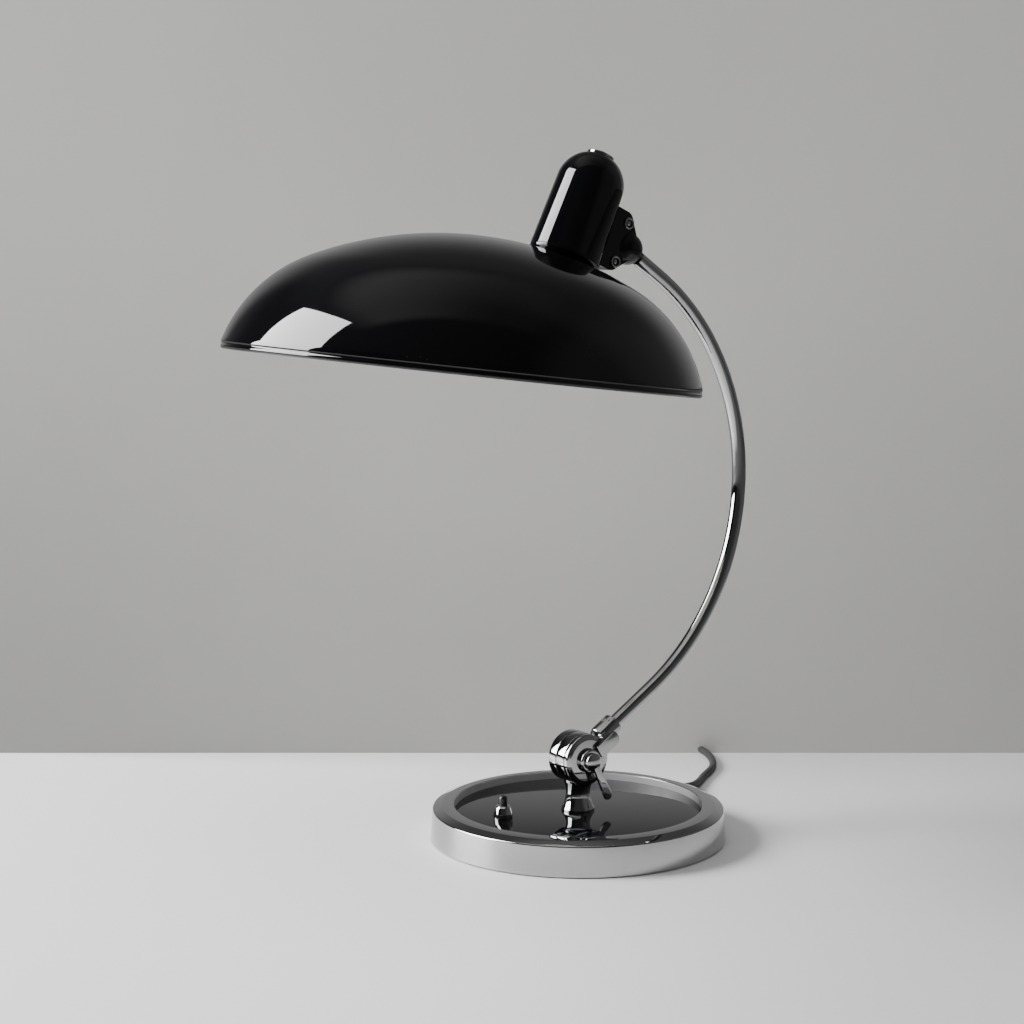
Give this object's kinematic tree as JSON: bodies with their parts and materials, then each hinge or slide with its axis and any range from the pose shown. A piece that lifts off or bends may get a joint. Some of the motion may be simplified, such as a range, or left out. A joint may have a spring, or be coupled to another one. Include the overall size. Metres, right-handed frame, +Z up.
{
  "type": "desk lamp",
  "caption": "Desk lamp with a round weighted base, a clamped arm of bent tube and a wide domed shade on a ball joint beside its rounded holder housing.",
  "frame": {"origin": "centre of the base's underside, where the felt pad meets the table", "axes": "+Z up; the arm bends in the XZ plane with its bow towards +X, the shade reaches towards -X, the clamp lever is on the -Y side"},
  "size_m": [0.4555, 0.399, 0.428],
  "materials": {
    "chrome": "polished",
    "black_enamel": "gloss",
    "cast_iron": "as cast, primed",
    "steel": "zinc plated",
    "brass": "plain",
    "nickel": "nickel plated",
    "plated_brass": "nickel plated",
    "felt": "dark felt",
    "cord_fabric": "woven",
    "tie_fabric": "woven",
    "fibre": "matte",
    "black_plastic": "gloss",
    "white_plastic": "matte",
    "holder_plastic": "gloss",
    "lead_plastic": "matte",
    "black_rubber": "matte",
    "opal_glass": "opal"
  },
  "bodies": {
    "base": {"base_rim": "chrome", "base_disc": "black_enamel", "base_ballast": "cast_iron", "disc_spacer": "steel", "base_cover": "steel", "base_pad": "felt", "cover_screws": "steel", "pedestal": "chrome", "stud_washer": "steel", "stud_nut": "brass", "clamp_bolt": "steel", "switch_collar": "chrome", "switch_body": "black_plastic", "switch_spring": "steel", "terminal_block": "white_plastic", "terminal_screws": "brass", "cord_clamp": "steel", "cord_gland": "black_rubber", "mains_cord": "cord_fabric", "cord_coil": "cord_fabric", "coil_tie": "tie_fabric", "plug_lead": "cord_fabric", "plug_body": "black_rubber", "plug_pins": "plated_brass"},
    "switch": {"switch_button": "black_plastic"},
    "lever": {"clamp_lever": "chrome"},
    "arm": {"arm_cap": "chrome", "hub_washer": "fibre", "pressure_washer": "chrome", "collar_screw": "steel", "arm_tube": "chrome", "arm_lead": "lead_plastic", "arm_bush": "brass"},
    "ball": {"ball_stud": "chrome"},
    "head": {"joint_front": "black_enamel", "joint_rear": "black_enamel", "joint_screws": "chrome", "joint_nuts": "steel", "joint_rivets": "steel", "head_housing": "black_enamel", "head_collar": "black_enamel", "finial_nut": "chrome", "holder_stem": "brass", "lamp_holder": "holder_plastic", "holder_shell": "brass", "holder_contact": "brass", "bulb_cap": "nickel", "bulb_glass": "opal_glass", "shade_ring": "holder_plastic", "shade": "black_enamel"}
  },
  "joints": [
    {"name": "arm_tilt", "type": "hinge", "parent": "base", "child": "arm", "pos_m": [0, 0, 0.0508], "axis": [0, 1, 0], "range_deg": [-35, 30]},
    {"name": "lever_turn", "type": "hinge", "parent": "base", "child": "lever", "pos_m": [0, -0.017, 0.0508], "axis": [0, -1, 0], "range_deg": [-60, 60]},
    {"name": "switch_press", "type": "slide", "parent": "base", "child": "switch", "axis": [0, 0, -1], "range_m": [0, 0.003], "stiffness_N_per_m": 400, "springref_m": -0.002, "deforming": ["switch_spring"]},
    {"name": "head_swivel", "type": "hinge", "parent": "arm", "child": "ball", "pos_m": [0.03612, 0, 0.36724], "axis": [-0.8251, 0, 0.565], "range_deg": [-60, 60]},
    {"name": "head_tilt", "type": "hinge", "parent": "ball", "child": "head", "pos_m": [0.03612, 0, 0.36724], "axis": [0, 1, 0], "range_deg": [-25, 45]}
  ]
}
